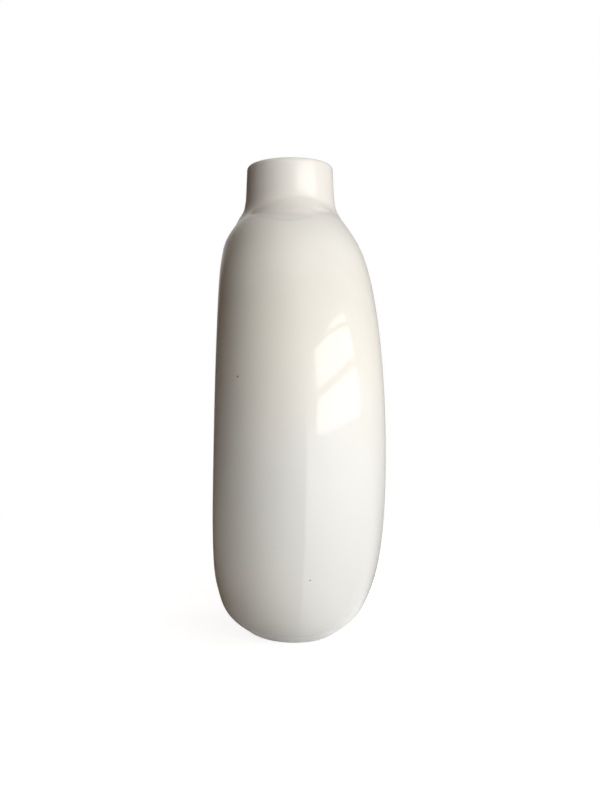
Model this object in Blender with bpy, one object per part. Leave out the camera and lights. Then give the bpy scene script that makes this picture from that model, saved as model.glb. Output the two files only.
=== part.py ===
"""Ring vase: an upright hollow clay ring with a short neck and an oval foot.

The ring is luted together from two half shells. Strips of clay fill the groove between
them, a coil fills the corner under the neck, and a slab closes the bottom as a foot.
The ring stands in the XZ plane, its eye opens along Y, and the foot rests on Z = 0.
"""

import math

import bmesh
import bpy
from mathutils import Vector

MM = 0.001

# Ring
RING_DIAMETER = 235 * MM
EYE_DIAMETER = 77 * MM
EYE_RISE = 4.2 * MM          # the eye sits above the ring's centre, so the tube is stouter below
SHELL_WALL = 5 * MM

# Grooves along the joint of the two shells, cut at 45 degrees and filled with clay
SEAM_DEPTH = 1.6 * MM

# Neck
NECK_DIAMETER = 46.8 * MM    # at the rim
NECK_FLARE = 0.9 * MM        # how much the radius grows from the rim down to the ring
NECK_WALL = 4.6 * MM
NECK_RISE = 22 * MM          # rim above the top of the ring

# Coil in the corner between neck and ring
COIL_SIDE_RADIUS = 20 * MM   # hollow of its smoothed face on the steep sides of the ring
COIL_CREST_RADIUS = 5 * MM   # and along the ring's crest, where the corner is nearly square
COIL_EDGE = 0.9 * MM         # how far its thin edges stand off the neck and the ring

# Foot
FOOT_SETBACK = 7 * MM        # the standing plane lies this far above the ring's lowest point
FOOT_EDGE = 1.2 * MM         # height at which the foot's side meets the ring
FOOT_BEVEL = 2 * MM
FOOT_RIM = 7 * MM
FOOT_RECESS = 1.5 * MM
FOOT_THICKNESS = 7.5 * MM

CLEARANCE = 0.3 * MM         # between neighbouring pieces

# Facets
RING_STATIONS = 60
OUTER_STEPS = 12
INNER_STEPS = 8
TURNED_STATIONS = 40
LIP_STEPS = 6
COIL_STEPS = 6
COIL_BASE_STEPS = 3
SMOOTH_ANGLE = math.radians(40)
SURFACE_PASSES = 8

# Worked out from the sizes above, from the ring's centre
RING_RADIUS = RING_DIAMETER / 2
EYE_RADIUS = EYE_DIAMETER / 2
CENTRE_HEIGHT = RING_RADIUS - FOOT_SETBACK
RIM_RADIUS = NECK_DIAMETER / 2
NECK_BASE_RADIUS = RIM_RADIUS + NECK_FLARE
BORE_RADIUS = RIM_RADIUS - NECK_WALL
RIM_HEIGHT = RING_RADIUS + NECK_RISE
HALF_GAP = CLEARANCE / 2
SEAM_HALF_WIDTH = SEAM_DEPTH + HALF_GAP - CLEARANCE * math.sqrt(2)
TOP = math.pi / 2
BOTTOM = -math.pi / 2

GLAZE_WHITE = (0.83, 0.82, 0.78)
BISQUE = (0.72, 0.66, 0.57)


def eye_reach(angle):
    """Distance from the ring's centre to the edge of the eye in one direction."""
    across = EYE_RISE * math.cos(angle)
    return EYE_RISE * math.sin(angle) + math.sqrt(EYE_RADIUS ** 2 - across ** 2)


def tube_radius(angle):
    return (RING_RADIUS - eye_reach(angle)) / 2


def spine_radius(angle):
    """Distance from the ring's centre to the middle of the tube."""
    return (RING_RADIUS + eye_reach(angle)) / 2


def on_station(angle, outward, sideways):
    """Point of the tube's section at one angle, measured from the middle of the tube."""
    reach = spine_radius(angle) + outward
    return Vector((reach * math.cos(angle), sideways, reach * math.sin(angle)))


def ring_top(x, y, swell):
    """Height of the ring's upper face over a point, with the tube's radius grown by swell."""
    angle = TOP
    for _ in range(SURFACE_PASSES):
        bulge = math.sqrt((tube_radius(angle) + swell) ** 2 - y ** 2)
        height = math.sqrt((spine_radius(angle) + bulge) ** 2 - x ** 2)
        angle = math.atan2(height, x)
    return height


def arc(radius, start, end, steps):
    angles = (start + (end - start) * step / steps for step in range(steps + 1))
    return [(radius * math.cos(angle), radius * math.sin(angle)) for angle in angles]


def full_turn(stations):
    return [math.tau * station / stations for station in range(stations)]


def clay(name, colour, roughness):
    material = bpy.data.materials.new(name + "_clay")
    material.use_nodes = True
    shader = material.node_tree.nodes["Principled BSDF"]
    shader.inputs["Base Color"].default_value = (*colour, 1)
    shader.inputs["Roughness"].default_value = roughness
    shader.inputs["Metallic"].default_value = 0
    return material


def add_object(name, bm, parent):
    bmesh.ops.recalc_face_normals(bm, faces=bm.faces)
    mesh = bpy.data.meshes.new(name)
    bm.to_mesh(mesh)
    bm.free()
    piece = bpy.data.objects.new(name, mesh)
    bpy.context.collection.objects.link(piece)
    piece.parent = parent
    return piece


def loft(name, sections, closed, parent, colour=GLAZE_WHITE, roughness=0.12):
    """Bridge a row of section loops into one solid, with its ends filled unless it is closed."""
    bm = bmesh.new()
    loops = []
    for section in sections:
        verts = [bm.verts.new(point) for point in section]
        loops.append([bm.edges.new((verts[i - 1], verts[i])) for i in range(len(verts))])
    for first, second in zip(loops, loops[1:]):
        bmesh.ops.bridge_loops(bm, edges=first + second)
    if closed:
        bmesh.ops.bridge_loops(bm, edges=loops[-1] + loops[0])
    else:
        for end in (loops[0], loops[-1]):
            bmesh.ops.edgeloop_fill(bm, edges=end)
    piece = add_object(name, bm, parent)
    piece.data.materials.append(clay(name, colour, roughness))
    piece.data.shade_smooth()
    piece.data.set_sharp_from_angle(angle=SMOOTH_ANGLE)
    return piece


def upright_cutter(name, half_length, half_width, low, high, parent):
    """Oval prism that is only used to cut an opening."""
    bm = bmesh.new()
    bmesh.ops.create_circle(bm, cap_ends=True, segments=TURNED_STATIONS, radius=1)
    bmesh.ops.scale(bm, vec=(half_length, half_width, 1), verts=bm.verts)
    bmesh.ops.translate(bm, vec=(0, 0, low), verts=bm.verts)
    walls = bmesh.ops.extrude_face_region(bm, geom=list(bm.faces))["geom"]
    raised = [item for item in walls if isinstance(item, bmesh.types.BMVert)]
    bmesh.ops.translate(bm, vec=(0, 0, high - low), verts=raised)
    cutter = add_object(name, bm, parent)
    cutter.hide_render = True
    cutter.display_type = "WIRE"
    return cutter


def cut(piece, cutter):
    boolean = piece.modifiers.new(cutter.name, "BOOLEAN")
    boolean.operation = "DIFFERENCE"
    boolean.solver = "EXACT"
    boolean.object = cutter


def shell_section(angle, side):
    """C-shaped section of one half shell, its two brims cut back for the seam grooves."""
    outer = tube_radius(angle)
    inner = outer - SHELL_WALL
    brim = math.asin((HALF_GAP + SEAM_DEPTH) / outer)
    lip = math.asin(HALF_GAP / inner)
    outline = [(outer - SEAM_DEPTH, HALF_GAP)]
    outline += arc(outer, brim, math.pi - brim, OUTER_STEPS)
    outline += [(SEAM_DEPTH - outer, HALF_GAP)]
    outline += arc(inner, math.pi - lip, lip, INNER_STEPS)
    return [on_station(angle, outward, side * sideways) for outward, sideways in outline]


def seam_section(angle, edge):
    """Wedge of clay in the groove, flush with the outer edge (1) or with the eye (-1)."""
    level = tube_radius(angle)
    wedge = [(level - SEAM_HALF_WIDTH, 0), (level, SEAM_HALF_WIDTH), (level, -SEAM_HALF_WIDTH)]
    return [on_station(angle, edge * outward, sideways) for outward, sideways in wedge]


def neck_radius(height):
    """Outer radius of the neck: flared from the rim to the top of the ring, straight below."""
    drop = min(RIM_HEIGHT - height, NECK_RISE)
    return RIM_RADIUS + NECK_FLARE * drop / NECK_RISE


def neck_section(turn):
    """Upright section of the neck's wall, from its saddle on the ring to its rounded lip."""
    facing = Vector((math.cos(turn), math.sin(turn), 0))
    seat_out = facing * NECK_BASE_RADIUS
    seat_out.z = ring_top(seat_out.x, seat_out.y, CLEARANCE)
    seat_in = facing * BORE_RADIUS
    seat_in.z = ring_top(seat_in.x, seat_in.y, CLEARANCE)
    section = [seat_in, seat_out, facing * NECK_BASE_RADIUS + Vector((0, 0, RING_RADIUS))]
    lip = NECK_WALL / 2
    for outward, upward in arc(lip, 0, math.pi, LIP_STEPS):
        section.append(facing * (RIM_RADIUS - lip + outward) + Vector((0, 0, RIM_HEIGHT - lip + upward)))
    return section


def coil_section(turn):
    """Section of the neck's coil: a ball rolled round the corner presses its hollow face."""
    facing = Vector((math.cos(turn), math.sin(turn), 0))
    hollow = COIL_CREST_RADIUS * facing.x ** 2 + COIL_SIDE_RADIUS * facing.y ** 2
    ball = facing * (NECK_BASE_RADIUS + COIL_EDGE + hollow)
    ball.z = ring_top(ball.x, ball.y, COIL_EDGE + hollow)
    angle = math.atan2(ball.z, ball.x)
    spine = on_station(angle, 0, 0)
    to_ring = (spine - ball).normalized()
    section = []
    for step in range(COIL_STEPS + 1):
        pressed = (-facing).slerp(to_ring, step / COIL_STEPS)
        section.append(ball + pressed * hollow)
    toe = spine - to_ring * (tube_radius(angle) + CLEARANCE)
    corner = facing * (NECK_BASE_RADIUS + CLEARANCE)
    for step in range(COIL_BASE_STEPS + 1):
        seat = toe.lerp(corner, step / COIL_BASE_STEPS)
        seat.z = ring_top(seat.x, seat.y, CLEARANCE)
        section.append(seat)
    section.append(facing * (neck_radius(ball.z) + CLEARANCE) + Vector((0, 0, ball.z)))
    return section


def foot_half_axes():
    """Half length and half width of the oval in which the ring meets the top of the foot's edge."""
    depth = CENTRE_HEIGHT - FOOT_EDGE
    half_length = math.sqrt(RING_RADIUS ** 2 - depth ** 2)
    half_width = math.sqrt(tube_radius(BOTTOM) ** 2 - (depth - spine_radius(BOTTOM)) ** 2)
    return half_length, half_width


def foot_sections():
    """Ovals from the ceiling of the recess, over the standing rim, up to the foot's inner face."""
    half_length, half_width = foot_half_axes()
    levels = [
        (FOOT_RIM, FOOT_RECESS),
        (FOOT_RIM, 0),
        (FOOT_BEVEL, 0),
        (0, FOOT_EDGE),
        (0, FOOT_THICKNESS),
    ]
    sections = []
    for inset, height in levels:
        oval = []
        for turn in full_turn(TURNED_STATIONS):
            x = (half_length - inset) * math.cos(turn)
            y = (half_width - inset) * math.sin(turn)
            oval.append(Vector((x, y, height)))
        sections.append(oval)
    return sections


def add_shells(parent):
    half_length, half_width = foot_half_axes()
    mouth = upright_cutter("neck_opening", BORE_RADIUS, BORE_RADIUS,
                           spine_radius(TOP), RIM_HEIGHT, parent)
    well = upright_cutter("foot_opening", half_length + CLEARANCE, half_width + CLEARANCE,
                          -RING_RADIUS - SHELL_WALL, -spine_radius(BOTTOM), parent)
    for name, side in (("front_shell", -1), ("rear_shell", 1)):
        sections = [shell_section(angle, side) for angle in full_turn(RING_STATIONS)]
        shell = loft(name, sections, True, parent)
        cut(shell, mouth)
        cut(shell, well)


def add_seams(parent):
    """The outer strips run from the foot to the neck's bore; the inner one goes round the eye."""
    root = RING_RADIUS - SEAM_HALF_WIDTH
    low = -math.acos((foot_half_axes()[0] + CLEARANCE) / root)
    high = math.acos((BORE_RADIUS + CLEARANCE) / root)
    steps = round(RING_STATIONS * (high - low) / math.tau)
    right = [low + (high - low) * step / steps for step in range(steps + 1)]
    left = [math.pi - angle for angle in right]
    loft("outer_seam_right", [seam_section(angle, 1) for angle in right], False, parent)
    loft("outer_seam_left", [seam_section(angle, 1) for angle in left], False, parent)
    loft("inner_seam", [seam_section(angle, -1) for angle in full_turn(RING_STATIONS)], True, parent)


def main():
    for old in list(bpy.data.objects):
        bpy.data.objects.remove(old, do_unlink=True)
    ring_centre = bpy.data.objects.new("ring_centre", None)
    ring_centre.location = (0, 0, CENTRE_HEIGHT)
    bpy.context.collection.objects.link(ring_centre)
    turns = full_turn(TURNED_STATIONS)
    add_shells(ring_centre)
    add_seams(ring_centre)
    loft("neck", [neck_section(turn) for turn in turns], True, ring_centre)
    loft("neck_coil", [coil_section(turn) for turn in turns], True, ring_centre)
    loft("foot", foot_sections(), False, None, BISQUE, 0.75)
    bpy.context.view_layer.update()


main()
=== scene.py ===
"""Ring vase in cream-white glaze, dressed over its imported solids."""

import math

import bmesh
import bpy
from mathutils import Matrix, Vector


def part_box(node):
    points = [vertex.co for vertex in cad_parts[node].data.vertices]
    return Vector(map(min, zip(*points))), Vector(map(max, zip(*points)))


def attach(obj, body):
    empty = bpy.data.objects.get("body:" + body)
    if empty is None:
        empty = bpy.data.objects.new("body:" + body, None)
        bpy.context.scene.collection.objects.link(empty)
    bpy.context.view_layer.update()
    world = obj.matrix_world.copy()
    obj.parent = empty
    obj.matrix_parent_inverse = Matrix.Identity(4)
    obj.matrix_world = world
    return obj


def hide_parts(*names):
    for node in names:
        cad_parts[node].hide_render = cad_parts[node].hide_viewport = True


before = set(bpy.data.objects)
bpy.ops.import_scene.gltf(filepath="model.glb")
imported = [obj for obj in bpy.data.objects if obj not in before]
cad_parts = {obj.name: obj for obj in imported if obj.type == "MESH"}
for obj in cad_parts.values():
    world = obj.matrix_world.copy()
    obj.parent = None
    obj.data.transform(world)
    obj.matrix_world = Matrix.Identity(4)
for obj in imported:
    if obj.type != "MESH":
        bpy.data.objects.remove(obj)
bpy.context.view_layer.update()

MM = 0.001
TOP = math.pi / 2

# Ring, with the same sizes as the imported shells
RING_RADIUS = 117.5 * MM
EYE_RADIUS = 38.5 * MM
EYE_RISE = 4.2 * MM
SHELL_WALL = 5 * MM

# Neck and the hollow coil under it
RIM_RADIUS = 23.4 * MM
NECK_BASE_RADIUS = 24.3 * MM
NECK_WALL = 4.6 * MM
NECK_RISE = 22 * MM
BORE_RADIUS = RIM_RADIUS - NECK_WALL
BORE_BEVEL = 2.5 * MM        # how much wider the bore opens into the chamber
COIL_SIDE_RADIUS = 20 * MM
COIL_CREST_RADIUS = 10 * MM
SMEAR_LENGTH = 46 * MM       # how far along the ring the coil's clay was smoothed out
SMEAR_WIDTH = 30 * MM        # and across it
SMEAR_RISE = 2 * MM          # and up the neck
SLOPE_RUN = 0.5 * MM         # run over which the ring's slope is taken at the end of the smear

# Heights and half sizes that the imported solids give
_, foot_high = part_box("foot")
_, neck_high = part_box("neck")
RIM_HEIGHT = RING_RADIUS + NECK_RISE           # above the ring's centre
CENTRE_HEIGHT = neck_high.z - RIM_HEIGHT       # above the table
FOOT_LENGTH = foot_high.x
FOOT_WIDTH = foot_high.y

# Foot and the edge of the glaze round it: inset from the oval and height above the table, in mm
FOOT_OUTLINE = ((9.5, 1.5), (8.2, 1.4), (7.4, 0.8), (6.9, 0.2), (6.2, 0.0), (4.8, 0.0), (3.4, 0.0),
                (2.8, 0.1), (2.4, 0.4), (2.4, 1.2), (2.4, 4.0), (2.4, 7.1), (2.8, 7.5))
GLAZE_HEM = ((0.5, 0.75), (1.2, 0.4), (1.9, 0.25), (2.2, 0.5), (2.2, 3.5), (2.2, 7))
GLAZE_LAP = 0.3 * MM         # how far the oval of the glaze stands out past that of the foot

# Openings in the ring's skin, as half angles in degrees round the ring and across the tube
NECK_OPENING = 30
CHAMBER_NECK_OPENING = 21
NECK_OPENING_ACROSS = 75
FOOT_OPENING = 27
FOOT_OPENING_ACROSS = 60

# Traces of the making
SEAM_RIDGE = 0.9 * MM        # low keel that the sponge left over the joint of the two shells
SEAM_WIDTH = 6.5 * MM
KEEL_START = 0.125           # sine of the angle below the ring's centre where the keel sets in
KEEL_FADE = 1 / 12
GLAZE_SWELL = 0.10 * MM      # slow waves in the thickness of the glaze

# How much fuller the vase is where the two shells gave way: level, spread, share of the width
FULL_COIL = (220 * MM, 6 * MM, 0.095)
FULL_FOOT = (8 * MM, 10 * MM, 0.048)
FULL_FRONT_FOOT = (8 * MM, 10 * MM, 0.012)
FULL_FRONT_SHOULDER = (209.5 * MM, 8 * MM, 0.044)
FULL_FRONT_BODY = 0.016
FRONT_FADE = 4 * MM
BODY_START = 45 * MM
BODY_FADE = 10 * MM
BODY_END = 221.5 * MM
BODY_END_FADE = 1.5 * MM

# Facets
STATIONS = 240               # round the ring
STEPS = 144                  # round the tube
CROWDING = 0.3               # pulls the steps towards the seam
INNER_STATIONS = 120
INNER_STEPS = 72
APPROACH_STEPS = 6           # from an opening's edge to the coil or to the foot
COIL_STEPS = 14
NECK_STEPS = 5
LIP_STEPS = 12
BORE_STEPS = 4
FOOT_STATIONS = 120
SURFACE_PASSES = 8           # to settle on the ring's face over a point

# Glaze: its lowest tone, then from and to which height it turns into the next one.
# All but the body's cream are painted light: a cooler white below for the floor's bounce,
# a whiter band on the shoulder as a painted highlight of light from above, a duller neck as painted
# shade
GLAZE_BELOW_PAINTED_BOUNCE = "F1F1EF"
GLAZE_TONES_PAINTED_LIGHT = ((70 * MM, 160 * MM, "F0ECE3"), (165 * MM, 197 * MM, "FAF7F0"),
               (208 * MM, 222 * MM, "F0ECE6"))
GLAZE_CLOUD = 45 * MM
GLAZE_DRIFT = 20 * MM        # how far up or down the clouds shift these heights
GLAZE_RIPPLE = 14 * MM
RIPPLE_DEPTH = 0.2 * MM

# Painted shade in a crease of the glaze along an oval round the neck
CREASE_SHADE_TONE = "A39A8C"
CREASE_LENGTH = 64 * MM      # half sizes of the oval
CREASE_WIDTH = 22 * MM
CREASE_SHIFT = 2.42 * MM     # of the oval towards the front
CREASE_EDGE = 1.02           # where the crease starts and where it is deepest, in half sizes
CREASE_MIDDLE = 1.05
CREASE_WAVER = 0.1
WAVER_SIZE = 20 * MM
CREASE_LEVEL = 212 * MM      # it keeps within a band round this height
CREASE_BAND = 12 * MM
CREASE_SHADE_STRENGTH = 0.22
CREASE_CLOUDS = (0.42, 0.6)  # noise values between which it goes from lost to full

PINHOLES = ((0.1027, -0.0291, 0.1327), (0.0954, 0.0031, 0.0411))
PINHOLE_TONE = "4A4238"
PINHOLE_RIM = 0.6 * MM
PINHOLE_FLOOR = 0.2 * MM

CLAY_TONES = ("D2C3AC", "E4D9C8")
CLAY_GRIT = 0.5 * MM
GRIT_DEPTH = 0.2 * MM

# Studio, in metres; radiance 1 is the white of the background
VASE_MIDDLE = Vector((0, 0, 0.12))
WHITE = "FFFFFF"
EVEN_GLOW = 0.015
EVEN_TONE = "FFC890"
PANELS = (  # name, bearing in degrees, distance, middle height, width, height, radiance, colour
    ("front_panel", 9, 1.5, 0.58, 0.5, 0.8, 3.2, "FFFFFF"),
    ("side_panel", 36, 1.5, 0.58, 0.6, 0.8, 3.9, "F3F6FF"),
    ("low_panel", 30, 0.7, 0.08, 0.6, 0.15, 4.0, "FFFEFA"),
    ("top_panel", 40, 0.63, 1.5, 1.0, 1.0, 3.0, "FFFDF6"),
    ("back_panel", 130, 1.5, 0.50, 0.8, 0.9, 3.1, "FFFFFF"),
    ("rear_panel", 197, 1.5, 0.25, 0.8, 0.5, 6.5, "FFF3E6"))

FLOOR_SIZE = 4
FLOOR_DROP = 0.3 * MM        # the floor lies this far below the foot
PAPER_GLOW = 0.87
PAPER_GREY = 0.45            # how much of the lights, and so of the shadow, the paper shows
PAPER_FADE = (0.15, 0.6)     # distances between which it runs out into the background
PAPER_BOUNCE = "F2F0EB"
BROWN_BOUNCE = "5E4428"
BROWN_FADE = (-0.08, -0.32)  # along Y

ROOM_RADIUS = 2.5
ROOM_GLOW = 1.05
WOOD_WALL = "4A3C28"
WALLS = (  # axis of the view, from and to which share of it the wall sets in, colour
    ("Y", -0.42, 0.38, "FFFFFF"), ("X", 0.2, -0.5, "ACABA6"), ("Z", 0.3, 0.85, "9A9EA0"))

WINDOW_GLOW = 3.8
WINDOW_TONE = "FFFDF8"
WINDOW_REACH = 0.3           # its distance from the aim and the unit of its panes
WINDOW_BEARING = 60
WINDOW_AIM = Vector((0.108, 0.015, 0.135))
WINDOW_PANES = (  # corners: lower left and right, upper left and right
    ((-0.92, -0.2), (0.42, 0.0), (-0.92, 0.23), (0.42, 0.34)),
    ((-0.92, 0.34), (0.42, 0.46), (-0.92, 1.0), (0.42, 0.79)),
    ((-0.45, 1.01), (0.42, 0.87), (-0.45, 1.02), (0.42, 1.01)))

# Camera, fitted to the photograph; angles in degrees, lens and sensor in mm
CAMERA_BEARING = -3.17
CAMERA_DISTANCE = 0.5334
CAMERA_HEIGHT = 0.1203
CAMERA_ROLL = -0.24
CAMERA_SENSOR = 36
CAMERA_LENS = 43.93
CAMERA_SHIFT = (0.0114, 0.0056)


def eye_reach(around):
    """Distance from the ring's centre to the edge of the eye in one direction."""
    side = EYE_RISE * math.cos(around)
    return EYE_RISE * math.sin(around) + math.sqrt(EYE_RADIUS ** 2 - side ** 2)


def tube_radius(around):
    return (RING_RADIUS - eye_reach(around)) / 2


def spine_radius(around):
    return (RING_RADIUS + eye_reach(around)) / 2


def on_tube(around, across, inset):
    """Point of the ring's skin: around from +X upwards, across from the outer edge of the tube."""
    radius = tube_radius(around) - inset
    out = spine_radius(around) + radius * math.cos(across)
    return Vector((out * math.cos(around), radius * math.sin(across), out * math.sin(around)))


def ring_face(x, y, swell, side):
    """Height of the ring's upper (1) or lower (-1) face over a point, its tube grown by swell."""
    around = side * TOP
    for _ in range(SURFACE_PASSES):
        bulge = math.sqrt((tube_radius(around) + swell) ** 2 - y ** 2)
        height = side * math.sqrt((spine_radius(around) + bulge) ** 2 - x ** 2)
        around = math.atan2(height, x)
    return height


def turn_of(vert):
    """Angle of a vertex about Z."""
    return math.atan2(vert.co.y, vert.co.x)


def rise(value, start, fade):
    """Soft step from 0 to 1."""
    return 1 / (1 + math.exp((start - value) / fade))


def swelling(value, level, spread, share):
    """Soft bump, as high as the share."""
    return share * math.exp(-((value - level) / spread) ** 2)


def traces(around, across):
    """What casting, sponging and glazing leave on the tube's radius; nothing near neck and foot."""
    off_seam = abs(tube_radius(around) * math.sin(across)) / SEAM_WIDTH
    below = rise(-math.sin(around), KEEL_START, KEEL_FADE)
    keel = SEAM_RIDGE * math.exp(-off_seam) * below if math.cos(across) > 0 else 0
    # Three and five waves round the ring, drawn out round the tube
    swell = math.sin(3 * around + 2 * math.sin(across))
    swell += math.sin(5 * around - 1.5 * math.cos(across))
    return (keel + GLAZE_SWELL * swell / 2) * math.cos(around) ** 2


def hand_shaped(place):
    """Fuller on the front (-Y) and round foot and shoulder, as the shells were squeezed together."""
    front = rise(-place.y, 0, FRONT_FADE)
    under_neck = rise(-place.z, -BODY_END, BODY_END_FADE)
    on_body = FULL_FRONT_BODY * rise(place.z, BODY_START, BODY_FADE)
    fuller = swelling(place.z, *FULL_COIL) + swelling(place.z, *FULL_FOOT)
    fuller += swelling(place.z, *FULL_FRONT_FOOT) * front
    fuller += (on_body + swelling(place.z, *FULL_FRONT_SHOULDER)) * front * under_neck
    return Vector((place.x, place.y * (1 + fuller), place.z))


def edges_of(loop):
    """Edges of a closed row of vertices."""
    pairs = zip(loop, loop[1:] + loop[:1])
    return [next(edge for edge in first.link_edges if edge.other_vert(first) is second)
            for first, second in pairs]


def raise_loop(bm, loop, places):
    """Extrude a closed row of vertices and lay the new row on the given places."""
    before = set(loop)
    fresh = {}
    for item in bmesh.ops.extrude_edge_only(bm, edges=edges_of(loop))["geom"]:
        if isinstance(item, bmesh.types.BMVert):
            root = next(edge.other_vert(item) for edge in item.link_edges
                        if edge.other_vert(item) in before)
            fresh[root] = item
    for root, place in zip(loop, places):
        fresh[root].co = place
    return [fresh[root] for root in loop]


def ring_skin(bm, inset, stations, steps, crowding, neck_opening):
    """Spin a circle to a ring, open it for neck and foot, and lay it on the tube.

    Gives the rows of vertices round the two openings, in the order of their turn about Z.
    """
    spin_radius = 2  # of a ring that serves only to give each vertex its two angles
    known = set(bm.verts)
    section = bmesh.ops.create_circle(bm, segments=steps, radius=1)["verts"]
    bmesh.ops.translate(bm, vec=(spin_radius, 0, 0), verts=section)
    outline = list(dict.fromkeys(edge for vert in section for edge in vert.link_edges))
    bmesh.ops.spin(bm, geom=section + outline, cent=(0, 0, 0), axis=(0, 1, 0),
                   angle=math.tau, steps=stations, use_merge=True)
    skin = [vert for vert in bm.verts if vert not in known]

    def angles(point):
        out = math.hypot(point.x, point.z) - spin_radius
        return math.atan2(point.z, point.x), math.atan2(point.y, out)

    opened = []
    for face in dict.fromkeys(face for vert in skin for face in vert.link_faces):
        around, across = angles(face.calc_center_median())
        at_neck = (abs(around - TOP) < math.radians(neck_opening)
                   and abs(across) < math.radians(NECK_OPENING_ACROSS))
        at_foot = (abs(around + TOP) < math.radians(FOOT_OPENING)
                   and abs(across) < math.radians(FOOT_OPENING_ACROSS))
        if at_neck or at_foot:
            opened.append(face)
    bmesh.ops.delete(bm, geom=opened, context="FACES")
    skin = [vert for vert in skin if vert.is_valid]
    for vert in skin:
        around, across = angles(vert.co)
        across -= crowding * math.sin(2 * across)
        vert.co = on_tube(around, across, inset - (0 if inset else traces(around, across)))
    rims = sorted((vert for vert in skin if vert.is_boundary), key=turn_of)
    return [vert for vert in rims if vert.co.z > 0], [vert for vert in rims if vert.co.z < 0]


def coil_row(turn):
    """Hollow face of the coil from its toe on the ring to the neck.

    On the sides a ball was rolled round the corner; along the ring the clay runs out flat.
    """
    facing = Vector((math.cos(turn), math.sin(turn), 0))
    hollow = COIL_CREST_RADIUS * facing.x ** 2 + COIL_SIDE_RADIUS * facing.y ** 2
    ball = facing * (NECK_BASE_RADIUS + hollow)
    ball.z = ring_face(ball.x, ball.y, hollow, 1)
    around = math.atan2(ball.z, ball.x)
    spine = Vector((math.cos(around), 0, math.sin(around))) * spine_radius(around)
    to_ring = (spine - ball).normalized()

    reach = 1 / math.hypot(facing.x / SMEAR_LENGTH, facing.y / SMEAR_WIDTH)
    toe = facing * reach
    toe.z = ring_face(toe.x, toe.y, 0, 1)
    beyond = toe + facing * SLOPE_RUN
    slope = (toe.z - ring_face(beyond.x, beyond.y, 0, 1)) / SLOPE_RUN
    corner = facing * NECK_BASE_RADIUS
    corner.z = toe.z + slope * (reach - NECK_BASE_RADIUS)
    top = corner + Vector((0, 0, SMEAR_RISE))
    row = []
    for step in range(COIL_STEPS + 1):
        share = step / COIL_STEPS
        rolled = ball + hollow * to_ring.slerp(-facing, share)
        smeared = toe.lerp(corner, share).lerp(corner.lerp(top, share), share)
        row.append(rolled.lerp(smeared, facing.x ** 2))
    return row


def neck_rows(rim):
    """Rows of places from the opening in the ring over coil, neck and lip down to the chamber."""
    lip = NECK_WALL / 2
    lip_height = RIM_HEIGHT - lip
    columns = []
    for vert in rim:
        turn = turn_of(vert)
        facing = Vector((math.cos(turn), math.sin(turn), 0))
        coil = coil_row(turn)
        column = []
        for step in range(1, APPROACH_STEPS):
            place = vert.co.lerp(coil[0], step / APPROACH_STEPS)
            place.z = ring_face(place.x, place.y, 0, 1)
            column.append(place)
        column += coil
        shoulder = facing * RIM_RADIUS + Vector((0, 0, lip_height))
        column += [coil[-1].lerp(shoulder, step / NECK_STEPS) for step in range(1, NECK_STEPS)]
        for step in range(LIP_STEPS + 1):
            bend = math.pi * step / LIP_STEPS
            out = RIM_RADIUS - lip + lip * math.cos(bend)
            column.append(facing * out + Vector((0, 0, lip_height + lip * math.sin(bend))))
        sill = facing * BORE_RADIUS
        sill.z = ring_face(sill.x, sill.y, -SHELL_WALL / 2, 1)
        column += [column[-1].lerp(sill, step / BORE_STEPS) for step in range(1, BORE_STEPS + 1)]
        ceiling = facing * (BORE_RADIUS + BORE_BEVEL)
        ceiling.z = ring_face(ceiling.x, ceiling.y, -SHELL_WALL, 1)
        column.append(ceiling)
        columns.append(column)
    return zip(*columns)


def foot_rows(rim):
    """Rows of places from the opening in the ring to the oval of the foot and up its side."""
    length, width = FOOT_LENGTH + GLAZE_LAP, FOOT_WIDTH + GLAZE_LAP
    columns = []
    for vert in rim:
        turn = turn_of(vert)
        reach = 1 / math.hypot(math.cos(turn) / length, math.sin(turn) / width)
        edge = Vector((reach * math.cos(turn), reach * math.sin(turn), 0))
        column = []
        for step in range(1, APPROACH_STEPS + 1):
            place = vert.co.lerp(edge, step / APPROACH_STEPS)
            place.z = ring_face(place.x, place.y, 0, -1)
            column.append(place)
        for inset, height in GLAZE_HEM:
            place = edge * (1 - inset * MM / reach)
            place.z = height * MM - CENTRE_HEIGHT
            column.append(place)
        columns.append(column)
    return zip(*columns)


def new_object(name, bm, material):
    """Smooth object in the scene, made from a mesh under way."""
    mesh = bpy.data.meshes.new(name)
    bm.to_mesh(mesh)
    bm.free()
    mesh.shade_smooth()
    mesh.materials.append(material)
    thing = bpy.data.objects.new(name, mesh)
    bpy.context.scene.collection.objects.link(thing)
    return thing


def finish_piece(name, bm, material, slot, *nodes):
    """Turn the faces outwards, ride on the vase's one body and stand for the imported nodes."""
    bmesh.ops.recalc_face_normals(bm, faces=bm.faces)
    piece = new_object(name, bm, material)
    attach(piece, "root")
    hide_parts(*nodes)


def glazed_vase(material):
    """The ring, neck and coil under one coat of glaze, with the hollow chamber inside."""
    bm = bmesh.new()
    neck_rim, foot_rim = ring_skin(bm, 0, STATIONS, STEPS, CROWDING, NECK_OPENING)
    for places in neck_rows(neck_rim):
        neck_rim = raise_loop(bm, neck_rim, places)
    for places in foot_rows(foot_rim):
        foot_rim = raise_loop(bm, foot_rim, places)
    chamber_neck, chamber_foot = ring_skin(bm, SHELL_WALL, INNER_STATIONS, INNER_STEPS, 0,
                                           CHAMBER_NECK_OPENING)
    bmesh.ops.bridge_loops(bm, edges=edges_of(neck_rim) + edges_of(chamber_neck))
    bmesh.ops.bridge_loops(bm, edges=edges_of(foot_rim) + edges_of(chamber_foot))
    bmesh.ops.translate(bm, vec=(0, 0, CENTRE_HEIGHT), verts=bm.verts)
    for vert in bm.verts:
        vert.co = hand_shaped(vert.co)
    finish_piece("glazed_vase", bm, material, "white_glaze", "front_shell", "rear_shell",
                 "outer_seam_right", "outer_seam_left", "inner_seam", "neck", "neck_coil")


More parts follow.
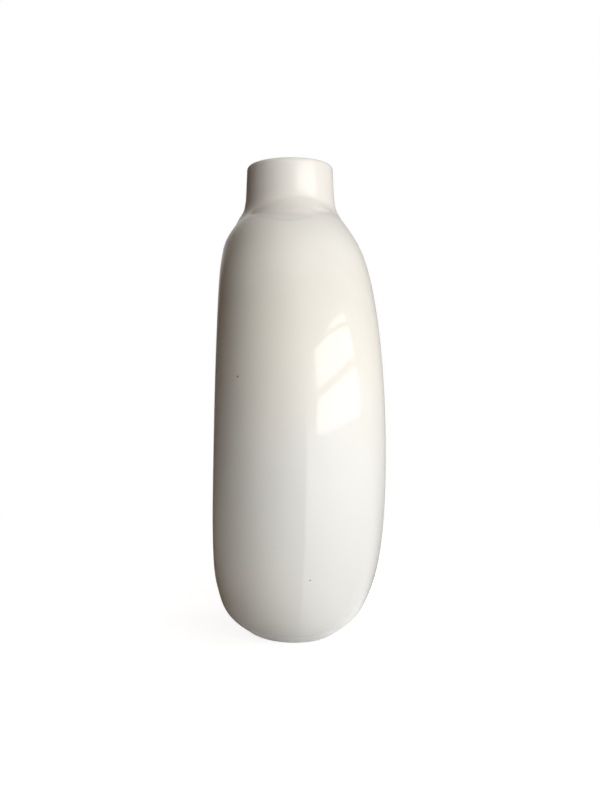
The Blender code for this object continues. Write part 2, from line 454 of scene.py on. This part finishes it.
def bare_foot(material):
    """Oval slab of unglazed clay with a wiped rim round a shallow recess."""
    bm = bmesh.new()
    loop = bmesh.ops.create_circle(bm, segments=FOOT_STATIONS, radius=1)["verts"]
    loop.sort(key=turn_of)
    turns = [turn_of(vert) for vert in loop]

    def oval(inset, height):
        return [Vector(((FOOT_LENGTH - inset * MM) * math.cos(turn),
                        (FOOT_WIDTH - inset * MM) * math.sin(turn), height * MM)) for turn in turns]

    for vert, place in zip(loop, oval(*FOOT_OUTLINE[0])):
        vert.co = place
    bmesh.ops.edgeloop_fill(bm, edges=edges_of(loop))
    for inset, height in FOOT_OUTLINE[1:]:
        loop = raise_loop(bm, loop, oval(inset, height))
    bmesh.ops.edgeloop_fill(bm, edges=edges_of(loop))
    finish_piece("bare_foot", bm, material, "bare_clay", "foot")


def linear(hex_colour):
    """sRGB hex value to linear RGBA."""
    parts = [int(hex_colour[at:at + 2], 16) / 255 for at in (0, 2, 4)]
    return [part / 12.92 if part <= 0.04045 else ((part + 0.055) / 1.055) ** 2.4
            for part in parts] + [1]


def add_node(tree, kind, settings=None, **sockets):
    """Add a node, set its properties, and give each input a value or a link."""
    node = tree.nodes.new(kind)
    for key, value in (settings or {}).items():
        setattr(node, key, value)
    for key, value in sockets.items():
        socket = node.inputs[int(key[1:]) if key[1:].isdigit() else key.replace("_", " ")]
        if isinstance(value, bpy.types.NodeSocket):
            tree.links.new(value, socket)
        else:
            socket.default_value = value
    return node


def own_place(tree):
    """Object coordinates, in metres."""
    return add_node(tree, "ShaderNodeTexCoord").outputs["Object"]


def noise(tree, place, size, detail):
    """Noise with features of about one size."""
    return add_node(tree, "ShaderNodeTexNoise", Vector=place, Scale=1 / size,
                    Detail=detail).outputs["Fac"]


def compute(tree, operation, *values):
    sockets = {f"i{at}": value for at, value in enumerate(values)}
    return add_node(tree, "ShaderNodeMath", {"operation": operation}, **sockets).outputs[0]


def soft_step(tree, value, start, end):
    """0 at the start, 1 at the end."""
    return add_node(tree, "ShaderNodeMapRange", {"interpolation_type": "SMOOTHSTEP"},
                    i0=value, i1=start, i2=end).outputs[0]


def mix_colour(tree, share, first, second):
    return add_node(tree, "ShaderNodeMix", {"data_type": "RGBA"}, i0=share, i6=first,
                    i7=second).outputs[2]


def mix_shader(tree, share, first, second):
    return add_node(tree, "ShaderNodeMixShader", i0=share, i1=first.outputs[0],
                    i2=second.outputs[0])


def new_material(name):
    material = bpy.data.materials.new(name)
    material.use_nodes = True
    tree = material.node_tree
    tree.nodes.clear()
    return material, tree, add_node(tree, "ShaderNodeOutputMaterial")


def cream_white_glaze():
    """Opaque glossy earthenware glaze, poured and dipped: a deep smooth shine over slow waves."""
    material, tree, output = new_material("cream_white_glaze")
    place = own_place(tree)
    # The coat gathers and thins in clouds about 45 mm across, which shift the heights of the tones.
    # The tones by height are painted light: a cooler white below for the floor's bounce, a painted
    # highlight on the shoulder for light from above, and painted shade on the neck
    clouds = noise(tree, place, GLAZE_CLOUD, 3.0)
    cloud = add_node(tree, "ShaderNodeMapRange", i0=clouds, i3=-GLAZE_DRIFT, i4=GLAZE_DRIFT)
    height = add_node(tree, "ShaderNodeSeparateXYZ", i0=place).outputs["Z"]
    level = compute(tree, "ADD", height, cloud.outputs[0])
    colour = linear(GLAZE_BELOW_PAINTED_BOUNCE)
    for low, high, tone in GLAZE_TONES_PAINTED_LIGHT:
        colour = mix_colour(tree, soft_step(tree, level, low, high), colour, linear(tone))
    # Faint painted shade, about 1 mm wide, in the crease where the neck's clay was smeared along the
    # ring.
    # It wavers every 20 mm or so, and comes and goes with the clouds
    smear = add_node(tree, "ShaderNodeVectorMath", {"operation": "MULTIPLY_ADD"}, i0=place,
                     i1=(1 / CREASE_LENGTH, 1 / CREASE_WIDTH, 0),
                     i2=(0, CREASE_SHIFT / CREASE_WIDTH, 0))
    reach = add_node(tree, "ShaderNodeVectorMath", {"operation": "LENGTH"}, i0=smear.outputs[0])
    hand = noise(tree, place, WAVER_SIZE, 1.0)
    edge = compute(tree, "MULTIPLY_ADD", hand, CREASE_WAVER, reach.outputs["Value"])
    apart = compute(tree, "PINGPONG", edge, CREASE_MIDDLE)
    line = soft_step(tree, apart, CREASE_EDGE, CREASE_MIDDLE)
    upper = compute(tree, "COMPARE", height, CREASE_LEVEL, CREASE_BAND)
    lost, full = CREASE_CLOUDS
    depth = add_node(tree, "ShaderNodeMapRange", i0=clouds, i1=lost, i2=full, i3=0.0,
                     i4=CREASE_SHADE_STRENGTH)
    shade = compute(tree, "MULTIPLY", compute(tree, "MULTIPLY", line, upper), depth.outputs[0])
    colour = mix_colour(tree, shade, colour, linear(CREASE_SHADE_TONE))
    # Pinholes, about 0.8 mm wide, with the burnt clay at their bottom
    for pinhole in PINHOLES:
        away = add_node(tree, "ShaderNodeVectorMath", {"operation": "DISTANCE"}, i0=place,
                        i1=pinhole)
        share = soft_step(tree, away.outputs["Value"], PINHOLE_RIM, PINHOLE_FLOOR)
        colour = mix_colour(tree, share, colour, linear(PINHOLE_TONE))
    # Ripples about 14 mm apart from the pouring
    ripples = noise(tree, place, GLAZE_RIPPLE, 2.0)
    bump = add_node(tree, "ShaderNodeBump", Strength=0.25, Distance=RIPPLE_DEPTH, Height=ripples)
    shader = add_node(tree, "ShaderNodeBsdfPrincipled", Base_Color=colour,
                      Roughness=0.07, IOR=1.52, Normal=bump.outputs["Normal"])
    tree.links.new(shader.outputs["BSDF"], output.inputs["Surface"])
    return material


def unglazed_clay():
    """Fired buff clay that was wiped with a sponge: matt, with fine grit."""
    material, tree, output = new_material("unglazed_buff_clay")
    # Grit of about 0.5 mm
    grit = noise(tree, own_place(tree), CLAY_GRIT, 2.0)
    dark, light = CLAY_TONES
    colour = mix_colour(tree, grit, linear(dark), linear(light))
    bump = add_node(tree, "ShaderNodeBump", Strength=0.5, Distance=GRIT_DEPTH, Height=grit)
    shader = add_node(tree, "ShaderNodeBsdfPrincipled", Base_Color=colour,
                      Roughness=0.85, IOR=1.5, Normal=bump.outputs["Normal"])
    tree.links.new(shader.outputs["BSDF"], output.inputs["Surface"])
    return material


def seen_directly(tree):
    """1 for rays of the camera, of mirrors and of glass, which all see the white background."""
    path = add_node(tree, "ShaderNodeLightPath").outputs
    first = compute(tree, "MAXIMUM", path["Is Camera Ray"], path["Is Glossy Ray"])
    return compute(tree, "MAXIMUM", first, path["Is Transmission Ray"])


def add_stage(name, bm, material):
    """Part of the studio, not of the vase."""
    thing = new_object(name, bm, material)
    return thing


def white_paper():
    """Matt white paper that keeps a soft shadow and runs out into the white background."""
    material, tree, output = new_material("matt_white_paper")
    place = own_place(tree)
    # What it throws back at the vase: white close by, a warm brown further to the left
    across = add_node(tree, "ShaderNodeSeparateXYZ", i0=place).outputs["Y"]
    bounce = mix_colour(tree, soft_step(tree, across, *BROWN_FADE), linear(PAPER_BOUNCE),
                        linear(BROWN_BOUNCE))
    paper = add_node(tree, "ShaderNodeBsdfDiffuse", Color=bounce)
    # What is seen of it
    glow = add_node(tree, "ShaderNodeEmission", Color=linear(WHITE), Strength=PAPER_GLOW)
    faint = add_node(tree, "ShaderNodeBsdfDiffuse", Color=(PAPER_GREY, PAPER_GREY, PAPER_GREY, 1))
    lit = add_node(tree, "ShaderNodeAddShader", i0=glow.outputs[0], i1=faint.outputs[0])
    white = add_node(tree, "ShaderNodeEmission", Color=linear(WHITE), Strength=1.0)
    reach = add_node(tree, "ShaderNodeVectorMath", {"operation": "LENGTH"}, i0=place)
    seen = mix_shader(tree, soft_step(tree, reach.outputs["Value"], *PAPER_FADE), lit, white)
    mix = mix_shader(tree, seen_directly(tree), paper, seen)
    tree.links.new(mix.outputs[0], output.inputs["Surface"])
    return material


def paper_floor():
    bm = bmesh.new()
    bmesh.ops.create_grid(bm, x_segments=1, y_segments=1, size=FLOOR_SIZE)
    bmesh.ops.translate(bm, vec=(0, 0, -FLOOR_DROP), verts=bm.verts)
    add_stage("floor", bm, white_paper())


def room_walls():
    """What the room shows in the glaze: dark wood on the left, white walls on the right.

    On that side the room turns grey towards the back and the ceiling.
    """
    material, tree, output = new_material("room_walls")
    away = add_node(tree, "ShaderNodeVectorMath", {"operation": "SUBTRACT"}, i0=own_place(tree),
                    i1=VASE_MIDDLE)
    way = add_node(tree, "ShaderNodeVectorMath", {"operation": "NORMALIZE"}, i0=away.outputs[0])
    axes = add_node(tree, "ShaderNodeSeparateXYZ", i0=way.outputs[0]).outputs
    tone = linear(WOOD_WALL)
    rightward = None
    for axis, start, end, colour in WALLS:
        share = soft_step(tree, axes[axis], start, end)
        if rightward:
            share = compute(tree, "MULTIPLY", share, rightward)
        else:
            rightward = share
        tone = mix_colour(tree, share, tone, linear(colour))
    glow = add_node(tree, "ShaderNodeEmission", Color=tone, Strength=ROOM_GLOW)
    tree.links.new(glow.outputs[0], output.inputs["Surface"])
    # Dome, closed just above the floor
    bm = bmesh.new()
    bmesh.ops.create_uvsphere(bm, u_segments=64, v_segments=32, radius=ROOM_RADIUS)
    bmesh.ops.bisect_plane(bm, geom=list(bm.verts) + list(bm.edges) + list(bm.faces),
                           plane_co=(0, 0, FLOOR_DROP), plane_no=(0, 0, -1), clear_outer=True)
    bmesh.ops.holes_fill(bm, edges=[edge for edge in bm.edges if edge.is_boundary], sides=0)
    walls = add_stage("room_walls", bm, material)
    walls.visible_camera = False
    walls.visible_diffuse = False
    walls.visible_transmission = False
    walls.visible_shadow = False


def room_light():
    """World: a white background to look at, and a dimmer even light to fall on the vase."""
    world = bpy.data.worlds.new("studio")
    world.use_nodes = True
    bpy.context.scene.world = world
    tree = world.node_tree
    tree.nodes.clear()
    output = add_node(tree, "ShaderNodeOutputWorld")
    even = add_node(tree, "ShaderNodeBackground", Color=linear(EVEN_TONE), Strength=EVEN_GLOW)
    white = add_node(tree, "ShaderNodeBackground", Color=linear(WHITE), Strength=1.0)
    mix = mix_shader(tree, seen_directly(tree), even, white)
    tree.links.new(mix.outputs[0], output.inputs["Surface"])


def add_panel(name, bearing, distance, middle, width, height, radiance, colour):
    """Soft light that faces the vase and shows neither directly nor in the glaze."""
    light = bpy.data.lights.new(name, "AREA")
    light.shape = "RECTANGLE"
    light.size = width
    light.size_y = height
    light.energy = radiance * math.pi * width * height
    light.color = linear(colour)[:3]
    panel = bpy.data.objects.new(name, light)
    turn = math.radians(bearing)
    panel.location = (distance * math.cos(turn), distance * math.sin(turn), middle)
    panel.rotation_mode = "QUATERNION"
    panel.rotation_quaternion = (VASE_MIDDLE - panel.location).to_track_quat("-Z", "Y")
    panel.visible_camera = False
    panel.visible_glossy = False
    bpy.context.scene.collection.objects.link(panel)


def window():
    """Window close to the right of the camera, three panes with slanting bars between them."""
    bm = bmesh.new()
    for corners in WINDOW_PANES:
        pane = bmesh.ops.create_grid(bm, x_segments=1, y_segments=1, size=0.5)["verts"]
        pane.sort(key=lambda vert: (vert.co.y, vert.co.x))
        for vert, (side, up) in zip(pane, corners):
            vert.co = (side, up, 0)
    bearing = math.radians(WINDOW_BEARING)
    facing = Vector((math.cos(bearing), math.sin(bearing), 0))
    along = Vector((-facing.y, facing.x, 0))
    upright = Matrix((along, (0, 0, 1), facing)).transposed().to_4x4()
    bmesh.ops.transform(bm, matrix=upright, verts=bm.verts)
    bmesh.ops.scale(bm, vec=(WINDOW_REACH, WINDOW_REACH, WINDOW_REACH), verts=bm.verts)
    bmesh.ops.translate(bm, vec=facing * WINDOW_REACH + WINDOW_AIM, verts=bm.verts)
    material, tree, output = new_material("window_daylight")
    glow = add_node(tree, "ShaderNodeEmission", Color=linear(WINDOW_TONE), Strength=WINDOW_GLOW)
    tree.links.new(glow.outputs[0], output.inputs["Surface"])
    panes = add_stage("window", bm, material)
    panes.visible_camera = False
    panes.visible_diffuse = False
    panes.visible_shadow = False


def photo_camera():
    """Level close-up from the ring's +X edge, as the photograph was taken."""
    data = bpy.data.cameras.new("camera")
    data.sensor_width = CAMERA_SENSOR
    data.lens = CAMERA_LENS
    data.shift_x, data.shift_y = CAMERA_SHIFT
    camera = bpy.data.objects.new("camera", data)
    bearing = math.radians(CAMERA_BEARING)
    facing = Vector((math.cos(bearing), math.sin(bearing), 0))
    camera.location = facing * CAMERA_DISTANCE + Vector((0, 0, CAMERA_HEIGHT))
    roll = Matrix.Rotation(math.radians(CAMERA_ROLL), 4, "Z").to_quaternion()
    camera.rotation_mode = "QUATERNION"
    camera.rotation_quaternion = (-facing).to_track_quat("-Z", "Y") @ roll
    bpy.context.scene.collection.objects.link(camera)
    bpy.context.scene.camera = camera


bpy.context.scene.view_settings.view_transform = "Standard"
glazed_vase(cream_white_glaze())
bare_foot(unglazed_clay())
paper_floor()
room_walls()
room_light()
window()
for panel in PANELS:
    add_panel(*panel)
photo_camera()
